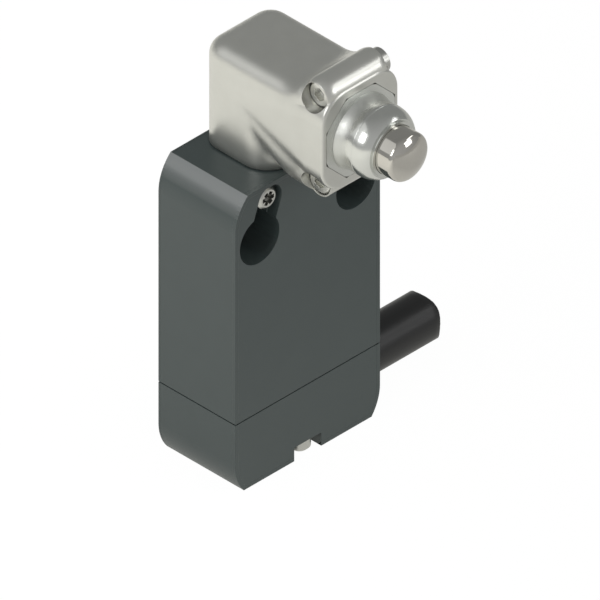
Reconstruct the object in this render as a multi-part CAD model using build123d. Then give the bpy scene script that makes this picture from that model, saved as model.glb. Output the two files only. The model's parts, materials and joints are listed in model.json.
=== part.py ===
# Plunger limit switch: a narrow prewired case with a turning angled head and a side plunger.
# Millimetres. +Z up, +X right, the plunger points to -Y.
# The origin is midway between the two fixing holes, on the back face.
from build123d import *
from math import acos, atan, cos, degrees, hypot, pi, sin, sqrt
import os

# case
case_width = 30.0
case_depth = 16.0
case_height = 52.5
case_corner_radius = 8.0
top_corner_inset = 2.54
bottom_corner_inset = 1.75
case_edge_radius = 0.7
case_back_edge = 0.4
case_wall = 2.0
channel_gap = 1.0
channel_roof = 1.5
rib_cover = 2.0

# fixing holes and keyhole recesses in the front
fixing_spacing = 20.0
fixing_height = 43.4
fixing_hole_dia = 4.3
counterbore_dia = 8.2
counterbore_depth = 11.5
recess_width = 4.86
recess_depth = 1.9
slot_width = 4.4
slot_depth = 4.0
slot_drop = 2.35

# screws that cross the spigots and hold them in their grooves
lock_screw_dia = 2.5
lock_screw_offset = 7.8
lock_screw_drop = 2.95
lock_head_dia = 3.8
lock_head_height = 1.55
lock_screw_length = 11.0
lock_recess = 2.3
screw_head_edge = 0.45
screw_recess_depth = 1.0
lobe_share = 0.62
thread_end_gap = 0.5

# round spigot joint, the same under the head and behind the plunger guide
spigot_bore = 14.0
spigot_clearance = 0.08
spigot_groove_dia = 12.8
spigot_groove_width = 3.1
spigot_depth = 5.6
spigot_wall = 1.2
spigot_land = 1.0
spigot_end_gap = 0.2
seal_height = 0.8
seal_section = 0.65
seal_drop = 0.3
seal_gap = 0.02

# bottom cap
cap_height = 12.5
gasket_thickness = 0.2
gasket_inset = 0.4
cap_floor = 1.5
cap_pocket_inset = 0.5
cap_groove_width = 5.6
cap_groove_height = 2.4
cap_screw_dia = 2.5
cap_screw_edge = 1.8
cap_head_dia = 3.5
cap_head_height = 2.0
cap_screw_grip = 17.0
cap_recess = 2.0
boss_radius = 2.5

# cable
cable_dia = 8.0
cable_height = 4.93
cable_length = 17.4
cable_inside = 9.5
sheath_wall = 1.0
core_dia = 2.12
core_count = 5
conductor_dia = 1.1
conductor_bare = 0.6
conductor_end_gap = 0.2
core_gap = 0.01
saddle_width = 4.0
saddle_inset = 1.5
saddle_cheek = 0.6
saddle_rise = 1.0
saddle_top_gap = 0.3
saddle_gap = 0.05

# head
head_width = 14.8
head_height = 18.4
head_gap = 0.25
head_front_radius = 4.8
head_rear_radius = 3.5
head_reach = 7.12
head_top_radius = 2.75
head_wall = 2.0
boss_reach = 19.0
boss_width = 15.8
boss_height = 17.2
boss_corner = 4.7
boss_edge = 0.5
boss_length = 4.0
neck_high = 15.0
neck_low = 9.0
neck_corner = 2.5
plunger_height = 11.1

# barrels for the cross screws of the head
barrel_setback = 2.9
upper_barrel_radius = 2.8
lower_barrel_dia = 5.0
lower_nose_radius = 3.9
lower_nose_back = 1.2
lower_nose_bottom = 2.6
barrel_flat_end = 5.7
lower_edge_radius = 3.7
cove_radius = 7.0
under_flat = 2.8
under_radius = 8.0
under_slope = 0.53
arm_overlap = 3.0
clamp_screw_seat = 3.4
clamp_head_dia = 4.2
clamp_head_height = 2.3
clamp_pocket_dia = 4.5
clamp_hex = 2.0
clamp_hex_depth = 1.2
clamp_edge = 0.25
nut_dia = 4.0
nut_end = 7.1
nut_seat = 2.9
nut_screw_gap = 0.4

# plunger guide, measured forward from the face of the boss
flange_flats = 14.1
flange_thickness = 1.0
flange_corner_dia = 14.88
flange_gap = 0.05
collar_base_dia = 12.4
collar_waist_dia = 11.1
collar_bulge_dia = 11.8
collar_lip_dia = 9.0
collar_step = 0.3
collar_waist = 2.0
collar_bulge = 3.9
collar_length = 7.0
lip_step = 0.3
lip_length = 0.35
wiper_depth = 0.6
wiper_height = 0.9
wiper_section = 0.5

# plunger
plunger_dia = 8.0
plunger_clearance = 0.05
plunger_reach = 11.3
plunger_dome = 1.35
plunger_edge = 0.9
plunger_travel = 3.8
plunger_flange_dia = 9.3
plunger_flange_thickness = 1.2
guide_shoulder = 1.0
tail_dia = 6.0
tail_edge = 0.4
tail_stud_dia = 3.4
tail_stud_length = 6.0

# ramp on the tail and pusher rod
ramp_slope = 0.6
ramp_run = 6.6
tail_past_axis = 0.6
pusher_dia = 4.0
pusher_clearance = 0.05
ramp_clearance = 0.12

# springs
plunger_spring_dia = 7.9
plunger_spring_wire = 0.55
plunger_spring_turns = 4.5
contact_spring_dia = 3.6
contact_spring_wire = 0.4
contact_spring_turns = 4.5
spring_seat_wall = 0.4

# contact block
block_side_gap = 1.2
block_height = 14.4
block_top = 6.4
block_wall = 1.3
chamber_drop = 1.8
chamber_height = 9.0
carrier_width = 6.0
carrier_depth = 5.0
carrier_gap = 0.1
carrier_rise = 1.2
carrier_foot = 3.0
bridge_thickness = 0.5
bridge_width = 3.2
bridge_end_gap = 0.7
bridge_gap = 0.05
bridge_drop = 4.0
strip_thickness = 0.6
strip_width = 4.0
strip_overlap = 3.2
strip_tab = 0.5
strip_gap = 0.05
contact_gap = 0.08
spring_recess = 2.6
spring_recess_gap = 0.2

# running and fitting gaps
spring_wall_gap = 0.3
screw_clearance = 0.05
fit_gap = 0.1

# how far a cut runs past the face that it opens
overrun = 1.0

# places that follow from the sizes above
y_front = -case_depth
y_axis = -case_depth / 2
z_bottom = -fixing_height
z_top = case_height - fixing_height
z_parting = z_bottom + cap_height
z_gasket_top = z_parting + gasket_thickness / 2
z_gasket_bottom = z_parting - gasket_thickness / 2
z_lock = z_top - lock_screw_drop
x_fixing = fixing_spacing / 2
y_face = y_axis - boss_reach
z_plunger = z_top + plunger_height
y_clamp = y_face + barrel_setback
z_head_bottom = z_top + head_gap
z_head_top = z_top + head_height
z_spigot_floor = z_top - spigot_depth
spigot_dia = spigot_bore - 2 * spigot_clearance
y_guide_rear = y_clamp + spigot_groove_width / 2 + spigot_land
y_guide_bore_end = y_guide_rear + spigot_end_gap
y_shoulder = y_face - guide_shoulder
y_flange_front = y_shoulder + plunger_clearance
y_flange_rear = y_flange_front + plunger_flange_thickness
y_tip = y_face - plunger_reach
y_spring_seat = y_axis - head_reach - spring_seat_wall
chamber_radius = spigot_groove_dia / 2 - spigot_wall
ramp_angle = atan(ramp_slope)
y_tail_end = y_axis + tail_past_axis
y_ramp_low = y_tail_end - ramp_run
z_ramp_low = z_plunger - tail_dia / 2
dome_radius = pusher_dia / 2
dome_offset = (dome_radius + ramp_clearance) / cos(ramp_angle)
z_screw_up = z_plunger + lock_screw_offset
z_screw_down = z_plunger - lock_screw_offset
z_dome_centre = z_ramp_low + (y_axis - y_ramp_low) * ramp_slope - dome_offset
pusher_travel = plunger_travel * ramp_slope
z_block_top = -block_top
z_block_bottom = z_block_top - block_height
z_chamber_top = z_block_top - chamber_drop
z_chamber_bottom = z_chamber_top - chamber_height
z_carrier_top = z_block_top + carrier_rise
z_bridge = z_chamber_top - bridge_drop + pusher_travel
z_carrier_foot = z_bridge - carrier_foot
block_width = case_width - 2 * (case_wall + block_side_gap)
bridge_length = block_width - 4 * block_wall - 2 * bridge_end_gap
z_cable = z_bottom + cable_height
x_cable_inner = case_width / 2 - cable_inside
x_cable_end = case_width / 2 + cable_length


# a block between two corners
def block(x0, x1, y0, y1, z0, z1):
    middle = Pos((x0 + x1) / 2, (y0 + y1) / 2, (z0 + z1) / 2)
    return middle * Box(x1 - x0, y1 - y0, z1 - z0)


# a round bar along X
def bar_x(y, z, x0, x1, dia):
    return Pos((x0 + x1) / 2, y, z) * Rot(0, 90, 0) * Cylinder(dia / 2, x1 - x0)


# a round bar along Y
def bar_y(x, z, y0, y1, dia):
    return Pos(x, (y0 + y1) / 2, z) * Rot(90, 0, 0) * Cylinder(dia / 2, y1 - y0)


# a round bar along Z
def bar_z(x, y, z0, z1, dia):
    return Pos(x, y, (z0 + z1) / 2) * Cylinder(dia / 2, z1 - z0)


# a flat ring along Z
def ring_z(x, y, z0, z1, outer, inner):
    return bar_z(x, y, z0, z1, outer) - bar_z(x, y, z0 - overrun, z1 + overrun, inner)


# front outline of the case: a rounded rectangle cut flat at the top and the bottom
def case_outline(inset):
    radius = case_corner_radius
    over_top = radius - radius * sin(acos(1 - top_corner_inset / radius))
    under_bottom = radius - radius * sin(acos(1 - bottom_corner_inset / radius))
    full = case_height + over_top + under_bottom
    middle = (z_top + over_top + z_bottom - under_bottom) / 2
    rounded = Pos(0, middle) * RectangleRounded(case_width - 2 * inset, full - 2 * inset, radius - inset)
    flat = Pos(0, (z_top + z_bottom) / 2) * Rectangle(case_width, case_height - 2 * inset)
    return rounded & flat


# a slice of the case between two heights, rounded round the front and broken round the back
def case_slice(z0, z1):
    whole = extrude(Plane.XZ * case_outline(0), amount=case_depth)
    front_edges = whole.faces().sort_by(Axis.Y)[0].edges()
    whole = fillet(front_edges, case_edge_radius)
    whole = chamfer(whole.faces().sort_by(Axis.Y)[-1].edges(), case_back_edge)
    return whole & block(-case_width, case_width, -2 * case_depth, case_depth, z0, z1)


# keyhole recess: counterbore, deep slot and shallow screw pocket on one side
def keyhole(side):
    x_hole = side * x_fixing
    x_screw = side * lock_screw_offset
    reach = slot_drop / z_lock
    x_slot = x_screw + (x_hole - x_screw) * reach
    z_slot = z_lock - slot_drop
    pocket = neck(x_hole, 0, x_screw, z_lock, recess_width, recess_depth)
    slot = neck(x_hole, 0, x_slot, z_slot, slot_width, slot_depth)
    bore = bar_y(x_hole, 0, y_front - overrun, y_front + counterbore_depth, counterbore_dia)
    hole = bar_y(x_hole, 0, y_front - overrun, 1, fixing_hole_dia)
    return pocket + slot + bore + hole


# a slot with round ends, sunk from the front face to a depth
def neck(x0, z0, x1, z1, width, depth):
    length = hypot(x1 - x0, z1 - z0)
    slant = degrees(atan((z1 - z0) / (x1 - x0)))
    shape = Pos((x0 + x1) / 2, (z0 + z1) / 2) * Rot(0, 0, slant) * SlotCenterToCenter(length, width)
    start = Plane.XZ.offset(case_depth - depth)
    return extrude(start * shape, amount=depth + overrun)


# ribs that carry the two cap screws inside the case
def screw_ribs(z0, z1):
    ribs = []
    for y in [y_front + cap_screw_edge, -cap_screw_edge]:
        post = bar_z(0, y, z0, z1, 2 * boss_radius)
        toward = y_front if y < y_axis else 0
        low = min(y, toward)
        high = max(y, toward)
        ribs.append(post + block(-boss_radius, boss_radius, low, high, z0, z1))
    return ribs[0] + ribs[1]


# the hollow inside the upper case
def housing_hollow():
    wide_top = z_block_top + fit_gap
    wide = block(
        case_wall - case_width / 2,
        case_width / 2 - case_wall,
        y_front + case_wall,
        -case_wall,
        z_parting - overrun,
        wide_top,
    )
    rib_top = z_bottom + cap_groove_height + cap_screw_grip + rib_cover
    wide = wide - screw_ribs(z_parting - overrun, rib_top)
    across = carrier_width / 2 + channel_gap
    deep = carrier_depth / 2 + channel_gap
    roof = z_spigot_floor - channel_roof
    channel = block(-across, across, y_axis - deep, y_axis + deep, wide_top - overrun, roof)
    return wide + channel


# upper case: keyholes, spigot bore, screw holes and hollow
def make_housing():
    body = case_slice(z_gasket_top, z_top)
    body = body - keyhole(-1) - keyhole(1)
    body = body - housing_hollow()
    body = body - bar_z(0, y_axis, z_spigot_floor, z_top + overrun, spigot_bore)
    guide = pusher_dia + 2 * pusher_clearance
    body = body - bar_z(0, y_axis, z_spigot_floor - 2 * channel_roof, z_spigot_floor + overrun, guide)
    lock_end = y_front + recess_depth + lock_screw_length + thread_end_gap
    for side in [-1, 1]:
        hole = lock_screw_dia + 2 * screw_clearance
        body = body - bar_y(side * lock_screw_offset, z_lock, y_front, lock_end, hole)
    for y in [y_front + cap_screw_edge, -cap_screw_edge]:
        top = z_bottom + cap_groove_height + cap_screw_grip + thread_end_gap
        body = body - bar_z(0, y, z_parting - overrun, top, cap_screw_dia + 2 * screw_clearance)
    return body


# bottom cap: pocket, cable bore, groove across the bottom and screw holes
def make_bottom_cap():
    body = case_slice(z_bottom, z_gasket_bottom)
    floor = z_bottom + cap_groove_height + cap_floor
    half = case_width / 2 - case_wall - cap_pocket_inset
    pocket = block(-half, half, y_front + case_wall, -case_wall, floor, z_parting + overrun)
    pocket = pocket - screw_ribs(floor - overrun, z_parting + 2 * overrun)
    body = body - pocket
    x_bore = x_cable_inner - conductor_bare - conductor_end_gap
    body = body - bar_x(y_axis, z_cable, x_bore, case_width, cable_dia + 2 * fit_gap)
    half_groove = cap_groove_width / 2
    groove_top = z_bottom + cap_groove_height
    body = body - block(-half_groove, half_groove, y_front - overrun, 1, z_bottom - overrun, groove_top)
    for y in [y_front + cap_screw_edge, -cap_screw_edge]:
        hole = cap_screw_dia + 2 * screw_clearance
        body = body - bar_z(0, y, z_bottom, z_parting + overrun, hole)
    return body


# thin gasket in the parting line, set in from the outline
def make_cap_gasket():
    whole = extrude(Plane.XZ * case_outline(gasket_inset), amount=case_depth)
    body = whole & block(
        -case_width,
        case_width,
        y_front + gasket_inset,
        -gasket_inset,
        z_gasket_bottom,
        z_gasket_top,
    )
    half = case_width / 2 - case_wall
    opening = block(-half, half, y_front + case_wall, -case_wall, z_parting - overrun, z_parting + overrun)
    body = body - (opening - screw_ribs(z_parting - 2 * overrun, z_parting + 2 * overrun))
    for y in [y_front + cap_screw_edge, -cap_screw_edge]:
        hole = cap_screw_dia + 2 * screw_clearance
        body = body - bar_z(0, y, z_parting - overrun, z_parting + overrun, hole)
    return body


# six-lobe recess in the top of a screw head
def lobe_recess(across, depth):
    arm = Rectangle(across, across / 2 * lobe_share)
    shape = arm + Rot(0, 0, 60) * arm + Rot(0, 0, 120) * arm
    return extrude(shape, amount=depth)


# a pan-head screw standing on the origin, head upwards, shank downwards
def pan_screw(dia, length, head_dia, head_height, recess):
    head = Pos(0, 0, head_height / 2) * Cylinder(head_dia / 2, head_height)
    head = chamfer(head.edges().sort_by(Axis.Z)[-1], screw_head_edge)
    shank = Pos(0, 0, -length / 2) * Cylinder(dia / 2, length)
    depth = screw_recess_depth
    return head + shank - Pos(0, 0, head_height - depth) * lobe_recess(recess, depth + overrun)


# screw that crosses the head's spigot, one on each side of the case
def make_lock_screw(side):
    screw = pan_screw(lock_screw_dia, lock_screw_length, lock_head_dia, lock_head_height, lock_recess)
    seat = y_front + recess_depth
    return Pos(side * lock_screw_offset, seat, z_lock) * Rot(90, 0, 0) * screw


# screw that holds the bottom cap, at a distance from the front face
def make_cap_screw(y):
    screw = pan_screw(cap_screw_dia, cap_screw_grip, cap_head_dia, cap_head_height, cap_recess)
    return Pos(0, y, z_bottom + cap_groove_height) * Rot(180, 0, 0) * screw


# plan of the upright part of the head
def head_plan():
    plan = Rectangle(head_width, 2 * head_reach)
    plan = fillet(plan.vertices().group_by(Axis.Y)[0], head_front_radius)
    return fillet(plan.vertices().group_by(Axis.Y)[-1], head_rear_radius)


# upright part of the head above the case
def head_column():
    plan = Pos(0, y_axis, z_head_bottom) * head_plan()
    column = extrude(plan, amount=z_head_top - z_head_bottom)
    return fillet(column.faces().sort_by(Axis.Z)[-1].edges(), head_top_radius)


# cross-section of the arm between the column and the boss
def arm_section(width, low, high, top_radius, bottom_radius):
    section = Pos(0, (low + high) / 2) * Rectangle(width, high - low)
    section = fillet(section.vertices().group_by(Axis.Y)[-1], top_radius)
    return fillet(section.vertices().group_by(Axis.Y)[0], bottom_radius)


# middle of the arm, which swells from the column into the boss
def arm_core():
    y_boss = y_face + boss_length
    low = z_plunger - boss_height / 2
    high = z_plunger + boss_height / 2
    narrow = arm_section(head_width, z_top + neck_low, z_top + neck_high, neck_corner, neck_corner)
    wide = arm_section(boss_width, low, high, boss_corner, boss_corner)
    swell = loft([Plane.XZ.offset(-y_axis) * narrow, Plane.XZ.offset(-y_boss) * wide])
    boss = extrude(Plane.XZ.offset(-y_boss) * wide, amount=boss_length)
    boss = fillet(boss.faces().sort_by(Axis.Y)[0].edges(), boss_edge)
    return swell + boss


# a side outline made into a bar across the head, with both its ends rounded off
def rounded_bar(side, width, radius):
    bar = extrude(side, amount=width / 2, both=True)
    left = bar.faces().sort_by(Axis.X)[0].edges()
    right = bar.faces().sort_by(Axis.X)[-1].edges()
    return fillet(left + right, radius)


# upper half of the arm: flat top, then a cove that sweeps up to the barrel of the upper screw
def upper_arm():
    reach = cove_radius + upper_barrel_radius
    rise = z_head_top + cove_radius - z_screw_up
    run = sqrt(reach * reach - rise * rise)
    touch = (y_clamp + run * upper_barrel_radius / reach, z_screw_up + rise * upper_barrel_radius / reach)
    cove = (y_clamp + run, z_head_top)
    nose = (y_clamp - upper_barrel_radius, z_screw_up)
    low = z_plunger - arm_overlap
    with BuildSketch(Plane.YZ) as side:
        with BuildLine():
            TangentArc(nose, touch, tangent=(0, 1))
            TangentArc(cove, touch, tangent=(-1, 0))
            Polyline(cove, (y_axis, z_head_top), (y_axis, low), (nose[0], low), nose)
        make_face()
    arm = rounded_bar(side.sketch, head_width, head_top_radius)
    y_cut = y_clamp + upper_barrel_radius
    above = z_head_top + cove_radius
    return arm - block(barrel_flat_end, head_width, y_face - overrun, y_cut, z_screw_up, above)


# lower half of the arm: it slopes down from the column to a blunt nose round the lower screw
def lower_arm():
    low = z_screw_down - lower_nose_bottom
    y_bottom = y_clamp + lower_nose_back
    nose = (y_bottom - lower_nose_radius, low + lower_nose_radius)
    bottom = (y_bottom, low)
    bend = (y_bottom + under_flat, low)
    slant = atan(under_slope)
    rise = (bend[0] + under_radius * sin(slant), low + under_radius * (1 - cos(slant)))
    z_back = rise[1] + (y_axis - rise[0]) * under_slope
    high = z_plunger + arm_overlap
    with BuildSketch(Plane.YZ) as side:
        with BuildLine():
            TangentArc(nose, bottom, tangent=(0, -1))
            Line(bottom, bend)
            TangentArc(bend, rise, tangent=(1, 0))
            Polyline(rise, (y_axis, z_back), (y_axis, high), (nose[0], high), nose)
        make_face()
    barrel = bar_x(y_clamp, z_screw_down, -barrel_flat_end, barrel_flat_end, lower_barrel_dia)
    return rounded_bar(side.sketch, head_width, lower_edge_radius) + barrel


# octagon across its flats, standing in the plunger's cross-section
def octagon(flats, y_from, length):
    corner = flats / 2 / cos(pi / 8)
    shape = Pos(0, z_plunger) * Rot(0, 0, 22.5) * RegularPolygon(corner, 8)
    return extrude(Plane.XZ.offset(-y_from) * shape, amount=length)


# the hollow inside the head
def head_hollow():
    room = bar_z(0, y_axis, z_spigot_floor - overrun, z_head_top - head_wall, 2 * chamber_radius)
    tail_bore = bar_y(0, z_plunger, y_spring_seat - overrun, y_axis, tail_dia + 2 * plunger_clearance)
    spring_dia = plunger_spring_dia + plunger_spring_wire + 2 * spring_wall_gap
    spring_room = bar_y(0, z_plunger, y_guide_bore_end - overrun, y_spring_seat, spring_dia)
    guide_bore = bar_y(0, z_plunger, y_face - overrun, y_guide_bore_end, spigot_bore)
    recess = flange_thickness + flange_gap
    flange = octagon(flange_flats + 2 * screw_clearance, y_face + recess, recess + overrun)
    return room + tail_bore + spring_room + guide_bore + flange


# holes, pockets and nut seats of the cross screws
def clamp_cuts():
    cuts = []
    for z in [z_screw_down, z_screw_up]:
        hole = bar_x(y_clamp, z, -head_width, head_width, lock_screw_dia + 2 * screw_clearance)
        pocket = bar_x(y_clamp, z, -head_width, -clamp_screw_seat, clamp_pocket_dia)
        seat = bar_x(y_clamp, z, nut_seat, head_width, nut_dia + 2 * screw_clearance)
        cuts.append(hole + pocket + seat)
    return cuts[0] + cuts[1]


# round spigot under the head with the groove that the lock screws run in
def head_spigot():
    bottom = z_spigot_floor + spigot_end_gap
    spigot = bar_z(0, y_axis, bottom, z_head_bottom + overrun, spigot_dia)
    groove_low = z_lock - spigot_groove_width / 2
    groove_high = z_lock + spigot_groove_width / 2
    spigot = spigot - ring_z(0, y_axis, groove_low, groove_high, spigot_bore + overrun, spigot_groove_dia)
    seal_high = z_top - seal_drop
    seal_low = seal_high - seal_height
    inner = spigot_bore - 2 * plunger_clearance - 2 * seal_section - seal_gap
    return spigot - ring_z(0, y_axis, seal_low - seal_gap, seal_high + seal_gap, spigot_bore + overrun, inner)


# cast head in one piece
def make_head_housing():
    body = head_column() + arm_core() + upper_arm() + lower_arm()
    body = body + head_spigot()
    body = body - head_hollow()
    return body - clamp_cuts()


# seal ring in its own groove near the top of the head's spigot
def make_head_seal():
    outer = spigot_bore - 2 * plunger_clearance
    high = z_top - seal_drop
    return ring_z(0, y_axis, high - seal_height, high, outer, outer - 2 * seal_section)


# plane whose first axis is the radius and second axis the way forward from the boss face
def guide_plane():
    return Plane(origin=(0, y_face, z_plunger), x_dir=(0, 0, 1), z_dir=(1, 0, 0))


# turns a half profile about the plunger's axis
def turned(sketch):
    return revolve(guide_plane() * sketch, axis=Axis((0, y_face, z_plunger), (0, 1, 0)))


# turned collar with the octagonal flange that the plunger slides in
def make_plunger_guide():
    base = collar_base_dia / 2
    waist = collar_waist_dia / 2
    bulge = collar_bulge_dia / 2
    lip = collar_lip_dia / 2
    middle = ((waist + bulge) / 2, (collar_waist + collar_bulge) / 2)
    mouth = collar_length - lip_length
    with BuildSketch() as profile:
        with BuildLine():
            TangentArc((waist, collar_waist), (base, collar_step), tangent=(0, -1))
            TangentArc((waist, collar_waist), middle, tangent=(0, 1))
            TangentArc((bulge, collar_bulge), middle, tangent=(0, -1))
            TangentArc((bulge, collar_bulge), (lip + lip_step, mouth), tangent=(0, 1))
            Polyline(
                (lip + lip_step, mouth),
                (lip, mouth),
                (lip, collar_length),
                (0, collar_length),
                (0, -flange_thickness),
                (base, -flange_thickness),
                (base, collar_step),
            )
        make_face()
    collar = turned(profile.sketch)
    flange = octagon(flange_flats, y_face + flange_thickness, flange_thickness)
    limit = bar_y(0, z_plunger, y_face - overrun, y_face + flange_thickness, flange_corner_dia)
    flange = flange & limit
    spigot_start = y_face + flange_thickness
    shaft = bar_y(0, z_plunger, spigot_start, y_guide_rear, spigot_groove_dia)
    land_start = y_clamp + spigot_groove_width / 2
    land = bar_y(0, z_plunger, land_start, y_guide_rear, spigot_dia)
    body = collar + flange + shaft + land
    y_lip = y_face - collar_length
    running = plunger_dia + 2 * plunger_clearance
    body = body - bar_y(0, z_plunger, y_lip - overrun, y_guide_rear + overrun, running)
    y_wiper = y_lip + wiper_depth
    body = body - bar_y(0, z_plunger, y_wiper, y_wiper + wiper_height, running + 2 * wiper_section)
    room = plunger_flange_dia + 4 * plunger_clearance
    return body - bar_y(0, z_plunger, y_shoulder, y_guide_rear + overrun, room)


# wiper ring in a groove behind the mouth of the collar
def make_wiper_seal():
    y_wiper = y_face - collar_length + wiper_depth
    inner = plunger_dia + 2 * plunger_clearance
    outer = bar_y(0, z_plunger, y_wiper, y_wiper + wiper_height, inner + 2 * wiper_section)
    return outer - bar_y(0, z_plunger, y_wiper - overrun, y_wiper + wiper_height + overrun, inner)


# socket screw that crosses the guide's spigot
def make_clamp_screw(z):
    x_head = -clamp_screw_seat - clamp_head_height
    head = bar_x(y_clamp, z, x_head, -clamp_screw_seat, clamp_head_dia)
    head = chamfer(head.edges().sort_by(Axis.X)[0], clamp_edge)
    hexagon = Rot(0, -90, 0) * RegularPolygon(clamp_hex / 2 / cos(pi / 6), 6)
    recess = extrude(Pos(x_head + clamp_hex_depth, y_clamp, z) * hexagon, amount=clamp_hex_depth + overrun)
    shank = bar_x(y_clamp, z, -clamp_screw_seat, nut_end - nut_screw_gap, lock_screw_dia)
    return head - recess + shank


# round nut at the other end of a cross screw
def make_clamp_nut(z):
    nut = bar_x(y_clamp, z, nut_seat + screw_clearance, nut_end, nut_dia)
    hole = lock_screw_dia + 2 * screw_clearance
    return nut - bar_x(y_clamp, z, nut_seat - overrun, nut_end + overrun, hole)


# plunger with domed tip, stop flange and a bore for the tail's stud
def make_plunger():
    radius = plunger_dia / 2
    dome = (radius * radius + plunger_dome * plunger_dome) / (2 * plunger_dome)
    ball = Pos(0, y_tip + dome, z_plunger) * Sphere(dome)
    tip = bar_y(0, z_plunger, y_tip - overrun, y_tip + dome, plunger_dia) & ball
    rim = tip.edges().filter_by(GeomType.CIRCLE).sort_by(Axis.Y)[0]
    tip = fillet(rim, plunger_edge)
    body = tip + bar_y(0, z_plunger, y_tip + dome, y_flange_front, plunger_dia)
    body = body + bar_y(0, z_plunger, y_flange_front, y_flange_rear, plunger_flange_dia)
    y_bore = y_flange_rear - tail_stud_length
    return body - bar_y(0, z_plunger, y_bore, y_flange_rear + overrun, tail_stud_dia + 2 * screw_clearance)


# tail pressed into the plunger, with the ramp that drives the pusher down
def make_plunger_tail():
    y_stud = y_flange_rear - tail_stud_length + fit_gap
    stud = bar_y(0, z_plunger, y_stud, y_flange_rear, tail_stud_dia)
    tail = bar_y(0, z_plunger, y_flange_rear, y_tail_end, tail_dia)
    tail = chamfer(tail.edges().sort_by(Axis.Y)[-1], tail_edge)
    y_past = y_tail_end + overrun
    rise = (y_past - y_ramp_low) * ramp_slope
    with BuildSketch(Plane.YZ) as wedge:
        with BuildLine():
            Polyline(
                (y_ramp_low, z_ramp_low),
                (y_past, z_ramp_low + rise),
                (y_past, z_ramp_low - overrun),
                (y_ramp_low - overrun / ramp_slope, z_ramp_low - overrun),
                close=True,
            )
        make_face()
    return stud + tail - extrude(wedge.sketch, amount=tail_dia, both=True)


# square wire wound into a spring along +Z from the origin
def coil_spring(dia, wire, turns, length):
    height = length - wire
    path = Helix(pitch=height / turns, height=height, radius=dia / 2)
    section = Plane(origin=path @ 0, x_dir=(1, 0, 0), z_dir=path % 0) * Rectangle(wire, wire)
    coil = sweep(section, path=path, is_frenet=True)
    return Pos(0, 0, wire / 2) * coil


# spring that returns the plunger
def make_plunger_spring():
    length = y_spring_seat - y_flange_rear
    spring = coil_spring(plunger_spring_dia, plunger_spring_wire, plunger_spring_turns, length)
    return Pos(0, y_spring_seat, z_plunger) * Rot(90, 0, 0) * spring


# pusher rod with a domed top on the head's turning axis
def make_pusher_rod():
    rod = bar_z(0, y_axis, z_carrier_top, z_dome_centre, pusher_dia)
    return rod + Pos(0, y_axis, z_dome_centre) * Sphere(pusher_dia / 2)


# contact carrier with the window that the bridge floats in
def make_contact_carrier():
    half = carrier_width / 2
    deep = carrier_depth / 2
    body = block(-half, half, y_axis - deep, y_axis + deep, z_carrier_foot, z_carrier_top)
    low = z_bridge - bridge_thickness / 2 - bridge_gap
    high = z_bridge + bridge_thickness / 2 + bridge_gap
    window = bridge_width / 2 + bridge_gap
    return body - block(-carrier_width, carrier_width, y_axis - window, y_axis + window, low, high)


# moving contact bridge
def make_contact_bridge():
    half = bridge_length / 2
    wide = bridge_width / 2
    low = z_bridge - bridge_thickness / 2
    high = z_bridge + bridge_thickness / 2
    return block(-half, half, y_axis - wide, y_axis + wide, low, high)


# insulating block with the chamber of the contacts
def make_contact_block():
    half = block_width / 2
    y0 = y_front + case_wall + fit_gap
    y1 = -case_wall - fit_gap
    body = block(-half, half, y0 + block_wall, y1, z_block_bottom, z_block_top)
    inner = half - 2 * block_wall
    body = body - block(-inner, inner, y0, y1 - block_wall, z_chamber_bottom, z_chamber_top)
    slide = carrier_width / 2 + carrier_gap
    deep = carrier_depth / 2 + carrier_gap
    low = z_chamber_top - overrun
    body = body - block(-slide, slide, y_axis - deep, y_axis + deep, low, z_block_top + overrun)
    spring_room = contact_spring_dia + contact_spring_wire + 2 * spring_recess_gap
    body = body - bar_z(0, y_axis, z_chamber_bottom - spring_recess, z_chamber_bottom + overrun, spring_room)
    for side in [-1, 1]:
        for z in strip_heights():
            body = body - strip(side, z, strip_gap)
    return body


# heights of the fixed contacts above and below the bridge
def strip_heights():
    reach = bridge_thickness / 2 + contact_gap + strip_thickness / 2
    return [z_bridge + reach, z_bridge - pusher_travel - reach]


# one fixed contact strip, grown by a gap for the slot that it sits in
def strip(side, z, gap):
    inner = bridge_length / 2 - strip_overlap
    outer = block_width / 2 + strip_tab
    wide = strip_width / 2 + gap
    low = z - strip_thickness / 2 - gap
    high = z + strip_thickness / 2 + gap
    x0 = inner if side > 0 else -outer
    x1 = outer if side > 0 else -inner
    return block(x0, x1, y_axis - wide, y_axis + wide, low, high)


# plate that closes the contact chamber at the front
def make_contact_cover():
    half = block_width / 2
    y0 = y_front + case_wall + fit_gap
    return block(-half, half, y0, y0 + block_wall, z_block_bottom, z_block_top)


# spring that lifts the contact carrier
def make_contact_spring():
    seat = z_chamber_bottom - spring_recess
    length = z_carrier_foot - seat
    spring = coil_spring(contact_spring_dia, contact_spring_wire, contact_spring_turns, length)
    return Pos(0, y_axis, seat) * spring


# cable sheath with a square cut end
def make_cable_sheath():
    sheath = bar_x(y_axis, z_cable, x_cable_inner, x_cable_end, cable_dia)
    inner = cable_dia - 2 * sheath_wall
    return sheath - bar_x(y_axis, z_cable, x_cable_inner - overrun, x_cable_end + overrun, inner)


# places of the cores around the middle of the cable
def core_places():
    ring = cable_dia / 2 - sheath_wall - core_dia / 2 - 2 * core_gap
    places = []
    for i in range(core_count):
        turn = 2 * pi * i / core_count + pi / 2
        places.append((y_axis + ring * cos(turn), z_cable + ring * sin(turn)))
    return places


# insulation of one core
def make_cable_core(place):
    y, z = place
    core = bar_x(y, z, x_cable_inner, x_cable_end, core_dia)
    return core - bar_x(y, z, x_cable_inner - overrun, x_cable_end + overrun, conductor_dia + 2 * core_gap)


# conductor of one core
def make_conductor(place):
    y, z = place
    return bar_x(y, z, x_cable_inner - conductor_bare, x_cable_end, conductor_dia)


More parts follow.
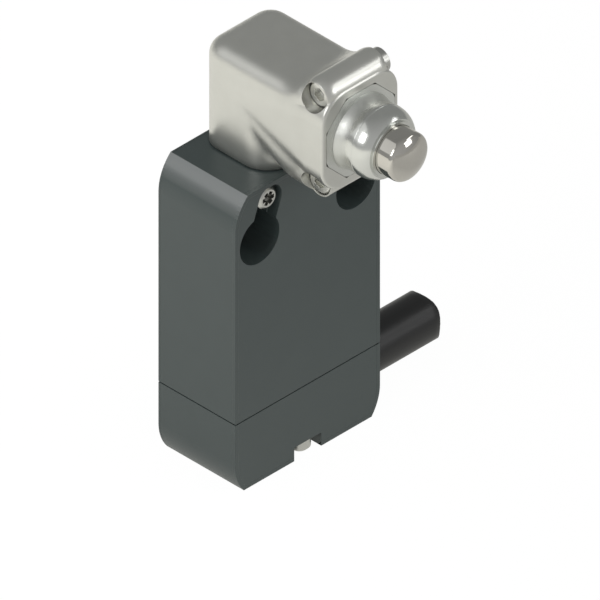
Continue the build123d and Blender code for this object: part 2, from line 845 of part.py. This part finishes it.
# saddle that clamps the cable inside the cap
def make_cable_clamp():
    x0 = x_cable_inner + saddle_inset
    x1 = x0 + saddle_width
    half = cable_dia / 2 + saddle_cheek
    saddle = block(x0, x1, y_axis - half, y_axis + half, z_cable + saddle_rise, z_parting - saddle_top_gap)
    return saddle - bar_x(y_axis, z_cable, x0 - overrun, x1 + overrun, cable_dia + 2 * saddle_gap)


# every piece by name
def all_parts():
    parts = {
        "housing": make_housing(),
        "bottom_cap": make_bottom_cap(),
        "cap_gasket": make_cap_gasket(),
        "lock_screw_left": make_lock_screw(-1),
        "lock_screw_right": make_lock_screw(1),
        "cap_screw_front": make_cap_screw(y_front + cap_screw_edge),
        "cap_screw_rear": make_cap_screw(-cap_screw_edge),
        "contact_block": make_contact_block(),
        "contact_cover": make_contact_cover(),
        "contact_spring": make_contact_spring(),
        "cable_sheath": make_cable_sheath(),
        "cable_clamp": make_cable_clamp(),
        "head_housing": make_head_housing(),
        "head_seal": make_head_seal(),
        "plunger_guide": make_plunger_guide(),
        "wiper_seal": make_wiper_seal(),
        "clamp_screw_upper": make_clamp_screw(z_screw_up),
        "clamp_screw_lower": make_clamp_screw(z_screw_down),
        "clamp_nut_upper": make_clamp_nut(z_screw_up),
        "clamp_nut_lower": make_clamp_nut(z_screw_down),
        "plunger_spring": make_plunger_spring(),
        "plunger": make_plunger(),
        "plunger_tail": make_plunger_tail(),
        "pusher_rod": make_pusher_rod(),
        "contact_carrier": make_contact_carrier(),
        "contact_bridge": make_contact_bridge(),
    }
    upper, lower = strip_heights()
    parts["closed_contact_left"] = strip(-1, upper, 0)
    parts["closed_contact_right"] = strip(1, upper, 0)
    parts["open_contact_left"] = strip(-1, lower, 0)
    parts["open_contact_right"] = strip(1, lower, 0)
    for number, place in enumerate(core_places(), start=1):
        parts[f"cable_core_{number}"] = make_cable_core(place)
        parts[f"conductor_{number}"] = make_conductor(place)
    return parts


os.makedirs("parts", exist_ok=True)
for name, shape in all_parts().items():
    export_step(shape, f"parts/{name}.step")
print("plunger travel", plunger_travel, "pusher travel", round(pusher_travel, 3))
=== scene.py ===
import bpy
import bmesh
import json
import math
import random
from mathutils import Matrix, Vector


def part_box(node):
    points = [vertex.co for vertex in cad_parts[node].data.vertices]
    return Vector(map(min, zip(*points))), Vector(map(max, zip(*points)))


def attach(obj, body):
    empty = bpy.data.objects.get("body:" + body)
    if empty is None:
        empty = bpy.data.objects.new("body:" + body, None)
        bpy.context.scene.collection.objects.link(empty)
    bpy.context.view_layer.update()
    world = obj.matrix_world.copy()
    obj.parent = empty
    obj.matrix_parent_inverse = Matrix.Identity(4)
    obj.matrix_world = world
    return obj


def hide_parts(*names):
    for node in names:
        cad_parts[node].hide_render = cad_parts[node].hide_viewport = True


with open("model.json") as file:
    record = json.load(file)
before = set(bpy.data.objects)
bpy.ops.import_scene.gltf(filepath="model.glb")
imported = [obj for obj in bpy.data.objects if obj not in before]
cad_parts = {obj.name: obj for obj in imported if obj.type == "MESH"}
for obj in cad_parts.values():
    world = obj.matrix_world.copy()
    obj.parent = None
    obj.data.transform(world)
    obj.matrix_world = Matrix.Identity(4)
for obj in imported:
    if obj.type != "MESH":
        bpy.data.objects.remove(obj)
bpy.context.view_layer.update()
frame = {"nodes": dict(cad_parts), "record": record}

nodes = frame["nodes"]
scene = bpy.context.scene
scene.view_settings.view_transform = "Standard"
mm = 0.001
print("frame:", len(nodes), "pieces loaded")


# turns a camera or lamp to look back along a direction
def aim(thing, toward):
    thing.rotation_mode = "QUATERNION"
    thing.rotation_quaternion = (-toward).to_track_quat("-Z", "Y")


# camera: the photograph is a true isometric view, so the lens is orthographic
view = {
    "target": (0.0, -14.39 * mm, -16.61 * mm),
    "toward": (-1, -1, 1),  # from the target to the camera
    "distance": 0.5,
    "width": 88.07 * mm,  # what the frame spans
    "clip": (0.01, 10),
}
eye = Vector(view["toward"]).normalized()
cameraData = bpy.data.cameras.new("camera")
cameraData.type = "ORTHO"
cameraData.ortho_scale = view["width"]
cameraData.clip_start, cameraData.clip_end = view["clip"]
camera = bpy.data.objects.new("camera", cameraData)
camera.location = Vector(view["target"]) + eye * view["distance"]
aim(camera, eye)
scene.collection.objects.link(camera)
scene.camera = camera
print("camera: set")


# a socket that can be used in sums
class Wire:
    def __init__(self, finish, socket):
        self.finish = finish
        self.socket = socket

    def join(self, operation, first, second, clamp=False):
        settings = {"operation": operation, "use_clamp": clamp}
        node = self.finish.add("ShaderNodeMath", settings, {0: first, 1: second})
        return Wire(self.finish, node.outputs[0])

    def __add__(self, other):
        return self.join("ADD", self, other)

    def __radd__(self, other):
        return self.join("ADD", other, self)

    def __sub__(self, other):
        return self.join("SUBTRACT", self, other)

    def __rsub__(self, other):
        return self.join("SUBTRACT", other, self)

    def __mul__(self, other):
        return self.join("MULTIPLY", self, other)

    def __rmul__(self, other):
        return self.join("MULTIPLY", other, self)

    def __pow__(self, other):
        return self.join("POWER", self, other)

    # kept between 0 and 1
    def clipped(self):
        return self.join("ADD", self, 0.0, clamp=True)

    # 0 up to start, then rising to 1
    def past(self, start, over):
        return ((self - start) * (1 / over)).clipped()

    # a noise taken as a swing to both sides of its middle
    def swing(self, amount):
        return (self - 0.5) * amount


# one material and the few calls that build it
class Finish:
    def __init__(self, name, fixed, owner=None):
        if owner is None:
            owner = bpy.data.materials.new(name)
        owner.use_nodes = True
        self.material = owner
        self.tree = owner.node_tree
        self.tree.nodes.clear()
        if fixed is not None:
            output = self.add("ShaderNodeOutputMaterial")
            self.surface = self.add("ShaderNodeBsdfPrincipled", None, fixed)
            self.tree.links.new(self.surface.outputs[0], output.inputs["Surface"])

    def add(self, kind, settings=None, values=None):
        node = self.tree.nodes.new(kind)
        for key, value in (settings or {}).items():
            setattr(node, key, value)
        for key, value in (values or {}).items():
            if isinstance(value, Wire):
                self.tree.links.new(value.socket, node.inputs[key])
            else:
                node.inputs[key].default_value = value
        return node

    def wire(self, node, output=0):
        return Wire(self, node.outputs[output])

    def place(self):
        return self.wire(self.add("ShaderNodeTexCoord"), "Object")

    def facing(self):
        return self.wire(self.add("ShaderNodeTexCoord"), "Normal")

    def split(self, vector):
        node = self.add("ShaderNodeSeparateXYZ", None, {0: vector})
        return [self.wire(node, axis) for axis in ("X", "Y", "Z")]

    def joined(self, x, y, z):
        return self.wire(self.add("ShaderNodeCombineXYZ", None, {0: x, 1: y, 2: z}))

    def noise(self, size, detail, rough, vector=None):
        vector = vector or self.place()
        values = {"Vector": vector, "Scale": 1 / size, "Detail": detail, "Roughness": rough}
        return self.wire(self.add("ShaderNodeTexNoise", None, values))

    def mixed(self, mask, first, second):
        node = self.add("ShaderNodeMix", {"data_type": "RGBA"}, {0: mask, 6: first, 7: second})
        return self.wire(node, 2)

    def bump(self, height, distance, strength, normal=None):
        values = {"Height": height, "Distance": distance, "Strength": strength}
        if normal is not None:
            values["Normal"] = normal
        return self.wire(self.add("ShaderNodeBump", None, values))

    def rounded(self, radius):
        return self.wire(self.add("ShaderNodeBevel", {"samples": 6}, {"Radius": radius}))

    def feed(self, colour, roughness, normal, coat=None):
        links = {"Base Color": colour, "Roughness": roughness, "Normal": normal}
        if coat is not None:
            links["Coat Weight"] = coat
        for name, value in links.items():
            self.tree.links.new(value.socket, self.surface.inputs[name])


def rgba(red, green, blue):
    return (red, green, blue, 1.0)


# In the looks below, a noise is given by its size, detail and harshness, and a bump by its
# depth and strength.

# moulded case: tiny pebble grain and faint mottling; its upper rounded corners shine
caseLook = {
    "deep": rgba(0.056, 0.075, 0.074),
    "pale": rgba(0.074, 0.095, 0.094),
    "grain": (0.16 * mm, 2.0, 0.6),
    "patches": (5 * mm, 2.0, 0.5),
    "grainShare": 0.6,  # of the mottling
    "patchShare": 0.4,
    "rough": 0.38,
    "roughSwing": 0.2,
    "dimple": (0.018 * mm, 0.5),
    "edge": 0.1 * mm,
    "cornerFrom": 0.35,  # slant at which the shine starts: 0 is level or upright, 1 is halfway
    "cornerOver": 0.5,
    "upward": 4,  # how soon the shine is full on a surface that faces up
    "fixed": {"Specular IOR Level": 0.55, "Coat IOR": 2.6, "Coat Roughness": 0.3},
}


def caseFinish():
    finish = Finish("caseGrey", caseLook["fixed"])
    grain = finish.noise(*caseLook["grain"])
    patches = finish.noise(*caseLook["patches"])
    sideways, forward, upward = finish.split(finish.facing())
    slant = sideways * upward * 2
    shine = (slant * slant).past(caseLook["cornerFrom"], caseLook["cornerOver"])
    mottle = (grain * caseLook["grainShare"] + patches * caseLook["patchShare"]).clipped()
    finish.feed(
        colour=finish.mixed(mottle, caseLook["deep"], caseLook["pale"]),
        roughness=caseLook["rough"] + grain.swing(caseLook["roughSwing"]),
        normal=finish.bump(grain, *caseLook["dimple"], finish.rounded(caseLook["edge"])),
        coat=shine * (upward * caseLook["upward"]).clipped(),
    )
    return finish.material


# satin plated casting of the head: soft where the arm flows into the column, crisp round the boss
castLook = {
    "deep": rgba(0.66, 0.66, 0.62),
    "pale": rgba(0.73, 0.73, 0.69),
    "fine": (0.10 * mm, 2.0, 0.6),
    "broad": (3 * mm, 3.0, 0.5),
    "rough": 0.31,
    "fineSwing": 0.06,
    "broadSwing": 0.05,
    "dimple": (0.004 * mm, 0.35),
    "softRadius": 2.2 * mm,
    "crispRadius": 0.12 * mm,
    "crispFrom": 20.5 * mm,  # how far forward of the wall plane the edges turn crisp
    "crispOver": 1.5 * mm,
    "fixed": {"Metallic": 0.85},
}


def castFinish():
    finish = Finish("castHead", castLook["fixed"])
    fine = finish.noise(*castLook["fine"])
    broad = finish.noise(*castLook["broad"])
    forward = 0.0 - finish.split(finish.place())[1]
    crisp = forward.past(castLook["crispFrom"], castLook["crispOver"])
    soft = finish.rounded(castLook["softRadius"])
    edges = finish.mixed(crisp, soft, finish.rounded(castLook["crispRadius"]))
    shade = fine.swing(castLook["fineSwing"]) + broad.swing(castLook["broadSwing"])
    finish.feed(
        colour=finish.mixed(broad, castLook["deep"], castLook["pale"]),
        roughness=castLook["rough"] + shade,
        normal=finish.bump(fine, *castLook["dimple"], edges),
    )
    return finish.material


# bright turned metal with fine rings round the plunger's axis; clouded gives a rougher root
turnedLook = {
    "rings": (0.09 * mm, 3.0, 0.7),
    "smudge": (2.2 * mm, 3.0, 0.6),
    "ringSwing": 0.04,
    "smudgeSwing": 0.06,
    "ringStrength": 0.4,
    "rootFrom": 29.9 * mm,  # how far forward of the wall plane the root fades out
    "rootOver": 1.2 * mm,
    "fixed": {"Metallic": 1.0},
}


def turnedFinish(name, deep, pale, rough, ringDepth, clouded):
    finish = Finish(name, turnedLook["fixed"])
    along = finish.split(finish.place())[1]
    rings = finish.noise(*turnedLook["rings"], finish.joined(0.0, along, 0.0))
    smudge = finish.noise(*turnedLook["smudge"])
    root = along.past(-turnedLook["rootFrom"], turnedLook["rootOver"])
    shade = smudge.swing(turnedLook["smudgeSwing"]) + rings.swing(turnedLook["ringSwing"])
    finish.feed(
        colour=finish.mixed(smudge, rgba(*deep), rgba(*pale)),
        roughness=rough + shade + root * smudge * (2 * clouded),
        normal=finish.bump(rings, ringDepth * mm, turnedLook["ringStrength"]),
    )
    return finish.material


# plain steel of screws, nuts and springs; recess names a screw whose driver recess gets painted
# shade: a near-black colour laid into the hollow
screwLook = {
    "deep": (0.88, 0.88, 0.84),  # shares of the screw's tone
    "pale": (1.05, 1.05, 1.0),
    "spots": (0.5 * mm, 3.0, 0.6),
    "roughSwing": 0.12,
    "dimple": (0.006 * mm, 0.3),
    "edge": 0.06 * mm,
    # painted shade in the driver recess: where it starts behind the screw's face, how it fades in,
    # its radius and rim, and its dark tone
    "recessShadeBelow": 0.15 * mm,  # the screw's face
    "recessShadeOver": 0.2 * mm,
    "recessShadeRadius": 0.95 * mm,
    "recessShadeRim": 0.2 * mm,
    "recessShadeTone": 0.05,
    "fixed": {"Metallic": 1.0},
}


def screwFinish(name, tone, rough, recess=None):
    finish = Finish(name, screwLook["fixed"])
    spots = finish.noise(*screwLook["spots"])
    deep, pale = [rgba(*(tone * part for part in screwLook[key])) for key in ("deep", "pale")]
    colour = finish.mixed(spots, deep, pale)
    if recess is not None:
        low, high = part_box(recess)
        across, along, up = finish.split(finish.place())
        shadeDepthMask = along.past(low[1] + screwLook["recessShadeBelow"], screwLook["recessShadeOver"])
        sideways = across - (low[0] + high[0]) / 2
        upward = up - (low[2] + high[2]) / 2
        away = (sideways * sideways + upward * upward) ** 0.5
        shadeAreaMask = (screwLook["recessShadeRadius"] - away).past(0.0, screwLook["recessShadeRim"])
        # painted shade: the colour inside the driver recess is darkened
        colour = finish.mixed(shadeDepthMask * shadeAreaMask, colour, rgba(*[screwLook["recessShadeTone"]] * 3))
    finish.feed(
        colour=colour,
        roughness=rough + spots.swing(screwLook["roughSwing"]),
        normal=finish.bump(spots, *screwLook["dimple"], finish.rounded(screwLook["edge"])),
    )
    return finish.material


# black cable sheath, slightly greasy, with faint lines along it
sheathLook = {
    "deep": rgba(0.009, 0.009, 0.0095),
    "pale": rgba(0.017, 0.017, 0.018),
    "lines": (0.35 * mm, 3.0, 0.6),
    "drawn": 0.04,  # how fast the lines change along the cable, against round it
    "rough": 0.36,
    "roughSwing": 0.16,
    "dimple": (0.02 * mm, 0.35),
    "fixed": {"Specular IOR Level": 0.5},
}


def sheathFinish():
    finish = Finish("sheathBlack", sheathLook["fixed"])
    across, along, up = finish.split(finish.place())
    drawn = finish.joined(across * sheathLook["drawn"], along, up)
    lines = finish.noise(*sheathLook["lines"], drawn)
    finish.feed(
        colour=finish.mixed(lines, sheathLook["deep"], sheathLook["pale"]),
        roughness=sheathLook["rough"] + lines.swing(sheathLook["roughSwing"]),
        normal=finish.bump(lines, *sheathLook["dimple"]),
    )
    return finish.material


# any plastic or rubber with one colour and a light mottle
mouldedLook = {
    "deep": 0.85,  # share of the colour in the darker spots
    "mottle": (0.4 * mm, 3.0, 0.5),
    "roughSwing": 0.14,
    "dimple": (0.01 * mm, 0.35),
    "fixed": {"Specular IOR Level": 0.5},
}


def mouldedFinish(name, colour, rough):
    finish = Finish(name, mouldedLook["fixed"])
    mottle = finish.noise(*mouldedLook["mottle"])
    deep = rgba(*(part * mouldedLook["deep"] for part in colour))
    finish.feed(
        colour=finish.mixed(mottle, deep, rgba(*colour)),
        roughness=rough + mottle.swing(mouldedLook["roughSwing"]),
        normal=finish.bump(mottle, *mouldedLook["dimple"]),
    )
    return finish.material


# material slot: name, deep and pale colour, roughness, depth of the rings in mm, clouded root
turnedMetals = {
    "polished_metal": ("collarBright", (0.66, 0.67, 0.64), (0.76, 0.77, 0.74), 0.2, 0.003, 0.25),
    "plunger_steel": ("plungerSteel", (0.58, 0.56, 0.52), (0.65, 0.63, 0.585), 0.08, 0.0008, 0),
    "contact_brass": ("contactBrass", (0.60, 0.42, 0.16), (0.75, 0.55, 0.24), 0.28, 0.002, 0),
    "copper": ("copperWire", (0.70, 0.30, 0.14), (0.85, 0.42, 0.22), 0.25, 0.001, 0),
}

# material slot: name, tone, roughness
plainSteels = {
    "screw_steel": ("screwSteel", 0.58, 0.30),
    "socket_steel": ("socketSteel", 0.75, 0.22),
    "spring_steel": ("springSteel", 0.50, 0.28),
}
lockScrewSteel = (0.62, 0.30)  # tone and roughness

# material slot: name, colour, roughness
mouldings = {
    "seal_rubber": ("sealRubber", (0.05, 0.055, 0.055), 0.6),
    "insulating_plastic": ("contactBlock", (0.42, 0.40, 0.34), 0.5),
    "drive_plastic": ("drivePlastic", (0.66, 0.64, 0.56), 0.4),
    "core_1": ("coreBrown", (0.20, 0.085, 0.035), 0.4),
    "core_2": ("coreBlue", (0.02, 0.10, 0.42), 0.4),
    "core_3": ("coreBlack", (0.012, 0.012, 0.012), 0.4),
    "core_4": ("coreGrey", (0.35, 0.35, 0.34), 0.4),
    "core_5": ("coreGreen", (0.16, 0.38, 0.03), 0.4),
}
gasket = ("gasketGrey", (0.13, 0.16, 0.16), 0.6)

finishes = {
    "case_plastic": caseFinish(),
    "cast_metal": castFinish(),
    "cable_sheath": sheathFinish(),
}
finishes.update({slot: turnedFinish(*values) for slot, values in turnedMetals.items()})
finishes.update({slot: screwFinish(*values) for slot, values in plainSteels.items()})
finishes.update({slot: mouldedFinish(*values) for slot, values in mouldings.items()})
slotOf = {piece["node"]: piece["material_slot"] for piece in frame["record"]["subparts"]}
for name, node in nodes.items():
    if name.startswith("lock_screw"):
        material = screwFinish(name + "Steel", *lockScrewSteel, name)
    elif name == "cap_gasket":
        material = mouldedFinish(*gasket)
    else:
        material = finishes[slotOf[name]]
    node.data.materials.clear()
    node.data.materials.append(material)
print("finishes:", len(finishes))


# walls between rings of corners, each ring to the next
def addWalls(form, rows):
    for first, second in zip(rows, rows[1:]):
        count = len(first)
        for i in range(count):
            j = (i + 1) % count
            form.faces.new((first[i], first[j], second[j], second[i]))


# an object from a form; round ones have smooth walls and flat ends
def makeObject(name, form, finish, isRound=True):
    bmesh.ops.recalc_face_normals(form, faces=form.faces)
    for face in form.faces:
        face.smooth = isRound and len(face.verts) == 4
    mesh = bpy.data.meshes.new(name)
    form.to_mesh(mesh)
    form.free()
    mesh.materials.append(finish)
    made = bpy.data.objects.new(name, mesh)
    scene.collection.objects.link(made)
    return made


# a closed skin over rings of points, the last joined to the first
def makeSkin(name, rings, finish):
    form = bmesh.new()
    rows = [[form.verts.new(point) for point in ring] for ring in rings]
    addWalls(form, rows + rows[:1])
    return makeObject(name, form, finish)


# cable sheath: a drawn tube with a wavy, slightly rough cut
sheath = {
    "sides": 96,
    "stretches": 6,
    "wall": 1.0 * mm,
    "lip": 0.22 * mm,  # rounding of the outer edge at the cut
    "cutDip": 0.7 * mm,
    "cutWave": 0.4 * mm,
    "cutTurn": math.radians(45),
    "cutRough": 0.04 * mm,
    "seed": 4,
}


def makeSheath():
    low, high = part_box("cable_sheath")
    centreY = (low[1] + high[1]) / 2
    centreZ = (low[2] + high[2]) / 2
    outer = (high[2] - low[2]) / 2
    inner = outer - sheath["wall"]
    lip = sheath["lip"]
    chance = random.Random(sheath["seed"])
    bite = [chance.uniform(-1, 1) for i in range(sheath["sides"])]

    # measured forward from the case, or where rough is given, back from the cut
    def ring(radius, distance, rough=0):
        points = []
        for i in range(sheath["sides"]):
            turn = 2 * math.pi * i / sheath["sides"]
            x = low[0] + distance
            if rough:
                dip = abs(math.sin(turn - sheath["cutTurn"]))
                wave = sheath["cutDip"] * dip + sheath["cutWave"] * (3 * dip - 4 * dip ** 3)
                x = high[0] - wave + sheath["cutRough"] * bite[i] * rough - distance
            y = centreY + radius * math.cos(turn)
            points.append((x, y, centreZ + radius * math.sin(turn)))
        return points

    stretch = (high[0] - low[0]) / sheath["stretches"]
    rings = [ring(inner, 0)] + [ring(outer, stretch * k) for k in range(sheath["stretches"])]
    rings += [
        ring(outer, 1.2 * mm, 0.01),
        ring(outer, lip, 0.3),
        ring(outer - lip * 0.3, lip * 0.3, 0.6),
        ring(outer - lip, 0, 1),
        ring((outer + inner) / 2, 0.02 * mm, 1),
        ring(inner + lip * 0.2, 0, 1),
        ring(inner, lip * 0.5, 0.6),
        ring(inner, 2 * mm, 0.01),
    ]
    piece = makeSkin("cableSheath", rings, finishes["cable_sheath"])
    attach(piece, "case")
    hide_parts("cable_sheath")


makeSheath()
print("cable sheath: cut end made")

# crisp corners for the case: thin three-sided strips that fill its rounded edges, front and back
caseEdges = {
    "corner": 8.0 * mm,
    "topInset": 2.54 * mm,  # how far in from the side the round corner meets the top
    "bottomInset": 1.75 * mm,
    "front": 0.7 * mm,  # the rounding that is filled
    "back": 0.4 * mm,
    "groove": 5.6 * mm,  # the open slot across the cap's underside
    "steps": 10,
}
housingLow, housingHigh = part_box("housing")
capLow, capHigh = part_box("bottom_cap")


# half of the case's outline from a start height on its side to a point on its top or underside:
# each point with the outline's outward direction there
def halfOutline(side, startZ, endX, endZ, inset):
    radius = caseEdges["corner"]
    wide = housingHigh[0]
    up = 1 if endZ > startZ else -1
    reach = math.acos(1 - inset / radius)
    centreX = wide - radius
    centreZ = endZ - up * radius * math.sin(reach)
    points = [(side * wide, startZ, side, 0.0)]
    for step in range(caseEdges["steps"] + 1):
        turn = reach * step / caseEdges["steps"]
        across, rise = math.cos(turn), math.sin(turn)
        x = side * (centreX + radius * across)
        z = centreZ + up * radius * rise
        normal = Vector((side * across, up * rise))
        if step == caseEdges["steps"]:  # the corner with the flat top
            flat = Vector((0.0, up))
            normal = (normal + flat) / (1 + normal.dot(flat))
        points.append((x, z, normal.x, normal.y))
    points.append((side * endX, endZ, 0.0, up))
    return points


def addStrip(form, points, faceY, depth, inward):
    rows = []
    for x, z, normalX, normalZ in points:
        onFace = form.verts.new((x - normalX * depth, faceY, z - normalZ * depth))
        corner = form.verts.new((x, faceY, z))
        onSide = form.verts.new((x, faceY + inward * depth, z))
        rows.append((onFace, corner, onSide))
    addWalls(form, rows)
    form.faces.new(rows[0])
    form.faces.new(rows[-1])


def makeCaseEdges(name, startZ, endX, endZ, inset):
    halves = [halfOutline(side, startZ, endX, endZ, inset) for side in (-1, 1)]
    if endX == 0:  # the halves meet in the middle and make one strip
        halves = [halves[0] + halves[1][-2::-1]]
    form = bmesh.new()
    faces = [(housingLow[1], caseEdges["front"], 1), (housingHigh[1], caseEdges["back"], -1)]
    for faceY, depth, inward in faces:
        for points in halves:
            addStrip(form, points, faceY, depth, inward)
    piece = makeObject(name, form, finishes["case_plastic"], isRound=False)
    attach(piece, "case")


makeCaseEdges("housingEdges", housingLow[2], 0, housingHigh[2], caseEdges["topInset"])
makeCaseEdges("capEdges", capHigh[2], caseEdges["groove"] / 2, capLow[2], caseEdges["bottomInset"])
print("case: edges made crisp")

# collar: a turned sleeve that fills its waist, so that the base runs on into the bulge
collarWaist = {
    "sides": 160,
    "steps": 24,
    "length": 7.0 * mm,  # of the whole collar
    "from": 0.3 * mm,  # forward of the boss's face
    "to": 3.9 * mm,
    "base": 6.2 * mm,  # radius at its start, and at its end
    "bulge": 5.91 * mm,
    "inner": 5.3 * mm,
    "hollow": 0.24 * mm,  # depth of the waist that is left
    "lean": 0.8,  # below 1 puts the waist nearer the bulge
    "narrow": 1.5,
}


def makeCollarWaist():
    low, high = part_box("plunger_guide")
    centreX = (low[0] + high[0]) / 2
    centreZ = (low[2] + high[2]) / 2
    start = low[1] + collarWaist["length"]

    def ring(forward, radius):
        points = []
        for i in range(collarWaist["sides"]):
            turn = 2 * math.pi * i / collarWaist["sides"]
            x = centreX + radius * math.cos(turn)
            points.append((x, start - forward, centreZ + radius * math.sin(turn)))
        return points

    reach = collarWaist["to"] - collarWaist["from"]
    rings = []
    for step in range(collarWaist["steps"] + 1):
        part = step / collarWaist["steps"]
        straight = collarWaist["base"] + (collarWaist["bulge"] - collarWaist["base"]) * part
        dent = math.sin(math.pi * part ** collarWaist["lean"]) ** collarWaist["narrow"]
        radius = straight - collarWaist["hollow"] * dent
        rings.append(ring(collarWaist["from"] + reach * part, radius))
    rings += [ring(collarWaist[end], collarWaist["inner"]) for end in ("to", "from")]
    piece = makeSkin("collarWaist", rings, finishes["polished_metal"])
    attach(piece, "head")


makeCollarWaist()
print("collar: waist filled")

# conductors: seven strands each, twisted a little, cut unevenly
strands = {
    "count": 7,
    "turns": 0.8,
    "steps": 24,
    "sides": 10,
    "spread": 3.02,  # strand widths across the bundle
    "cutSpread": 0.35 * mm,
}


def makeConductor(name):
    low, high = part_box(name)
    middleY = (low[1] + high[1]) / 2
    middleZ = (low[2] + high[2]) / 2
    whole = (high[2] - low[2]) / 2
    thin = whole / strands["spread"]
    chance = random.Random(name)
    form = bmesh.new()
    for strand in range(strands["count"]):
        away = 0 if strand == 0 else 2 * thin  # the first is the middle one
        start = 2 * math.pi * strand / (strands["count"] - 1)
        far = high[0] - chance.uniform(0.0, strands["cutSpread"])
        rows = []
        for step in range(strands["steps"] + 1):
            part = step / strands["steps"]
            x = low[0] + (far - low[0]) * part
            turn = start + 2 * math.pi * strands["turns"] * part
            y = middleY + away * math.cos(turn)
            z = middleZ + away * math.sin(turn)
            row = []
            for i in range(strands["sides"]):
                around = 2 * math.pi * i / strands["sides"]
                corner = (x, y + thin * math.cos(around), z + thin * math.sin(around))
                row.append(form.verts.new(corner))
            rows.append(row)
        addWalls(form, rows)
        form.faces.new(rows[0])
        form.faces.new(rows[-1])
    piece = makeObject(name + "Strands", form, finishes["copper"])
    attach(piece, "case")
    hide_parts(name)


for number in range(1, 6):
    makeConductor(f"conductor_{number}")
print("conductors: stranded")

# studio: pale floor that shows white to the camera but keeps the shadow; it carries painted light:
# its tone is darker to the front right and paler to the back left, and it glows for reflections in
# metal
studio = {
    "floorZ": -43.4 * mm,
    "floorSize": 3.0,
    # painted light on the floor: tone of its shaded front right and of its lit back left
    "floorPaintedShade": rgba(0.50, 0.50, 0.50),  # toward the front right
    "floorPaintedLight": rgba(0.96, 0.96, 0.94),  # toward the back left
    "floorBlend": 0.24,
    "floorWhite": 0.93,  # how much of it the camera sees as plain white
    "floorGlow": 1.05,
    "floorReflectedGlow": (0.3, 0.55),  # how white metal sees its dark side, and what the pale one adds
    "floorWarm": rgba(1.0, 0.99, 0.93),
    "skyBack": rgba(0.27, 0.275, 0.27),
    "skyFront": rgba(0.50, 0.50, 0.50),
    "skyMiddle": 0.35,  # how far toward skyFront it is to the side
    "skyForward": 0.45,
    "skyUpward": 0.2,
}
white = rgba(1, 1, 1)

# softboxes: compass angle and height in degrees, distance, sides and brightness
softboxes = {
    "keyLight": {"turn": 150, "lift": 38, "far": 0.6, "wide": 0.42, "tall": 0.5, "glow": 0.45},
    "leftLight": {"turn": 180, "lift": 32, "far": 0.6, "wide": 0.26, "tall": 0.26, "glow": 3.6},
    "sideLight": {"turn": -45, "lift": 36, "far": 0.6, "wide": 0.34, "tall": 0.10, "glow": 2.2},
    "frontLight": {"turn": -65, "lift": 20, "far": 0.5, "wide": 0.17, "tall": 0.17, "glow": 3.6},
}


def makeFloor():
    half = studio["floorSize"] / 2
    corners = [(-half, -half), (half, -half), (half, half), (-half, half)]
    mesh = bpy.data.meshes.new("floor")
    mesh.from_pydata([(x, y, studio["floorZ"]) for x, y in corners], [], [(0, 1, 2, 3)])
    floor = bpy.data.objects.new("floor", mesh)
    scene.collection.objects.link(floor)
    finish = Finish("floorPaintedLight", None)
    output = finish.add("ShaderNodeOutputMaterial")
    across, along, up = finish.split(finish.place())
    # painted light: the floor's tone slides from shaded front right to lit back left
    slide = (along - across).past(-studio["floorBlend"] / 2, studio["floorBlend"])
    tone = finish.mixed(slide, studio["floorPaintedShade"], studio["floorPaintedLight"])
    matt = finish.wire(finish.add("ShaderNodeBsdfDiffuse", None, {0: tone}))
    ray = finish.add("ShaderNodeLightPath")
    fromCamera = finish.wire(ray, "Is Camera Ray")
    fromMetal = finish.wire(ray, "Is Glossy Ray")
    least, more = studio["floorReflectedGlow"]
    # painted reflection: the floor glows for rays from metal, more on its pale side, though it is
    # no lamp
    seen = fromCamera * studio["floorWhite"] + fromMetal * (slide * more + least)
    shown = finish.mixed(fromCamera, studio["floorWarm"], white)
    glow = finish.wire(finish.add("ShaderNodeEmission", None, {0: shown, 1: studio["floorGlow"]}))
    shaders = {0: seen, 1: matt, 2: glow}
    blend = finish.wire(finish.add("ShaderNodeMixShader", None, shaders))
    finish.tree.links.new(blend.socket, output.inputs["Surface"])
    mesh.materials.append(finish.material)


def makeSky():
    world = bpy.data.worlds.new("sky")
    scene.world = world
    finish = Finish("sky", None, world)
    output = finish.add("ShaderNodeOutputWorld")
    direction = finish.wire(finish.add("ShaderNodeTexCoord"), "Generated")
    across, along, up = finish.split(direction)
    level = (across + along) * studio["skyForward"]
    slide = studio["skyMiddle"] - level - up * studio["skyUpward"]
    tone = finish.mixed(slide.clipped(), studio["skyBack"], studio["skyFront"])
    grey, plain = [
        finish.wire(finish.add("ShaderNodeBackground", None, {0: colour, 1: 1.0}))
        for colour in (tone, white)
    ]
    fromCamera = finish.wire(finish.add("ShaderNodeLightPath"), "Is Camera Ray")
    shaders = {0: fromCamera, 1: grey, 2: plain}
    blend = finish.wire(finish.add("ShaderNodeMixShader", None, shaders))
    finish.tree.links.new(blend.socket, output.inputs["Surface"])


def makeLamp(name, box):
    data = bpy.data.lights.new(name, "AREA")
    data.shape = "RECTANGLE"
    data.size = box["wide"]
    data.size_y = box["tall"]
    data.energy = box["glow"] * math.pi * box["wide"] * box["tall"]
    turn = math.radians(box["turn"])
    lift = math.radians(box["lift"])
    level = math.cos(lift)
    toward = Vector((math.cos(turn) * level, math.sin(turn) * level, math.sin(lift)))
    lamp = bpy.data.objects.new(name, data)
    lamp.location = toward * box["far"]
    aim(lamp, toward)
    scene.collection.objects.link(lamp)


makeFloor()
makeSky()
for name, box in softboxes.items():
    makeLamp(name, box)
print("studio: lit")
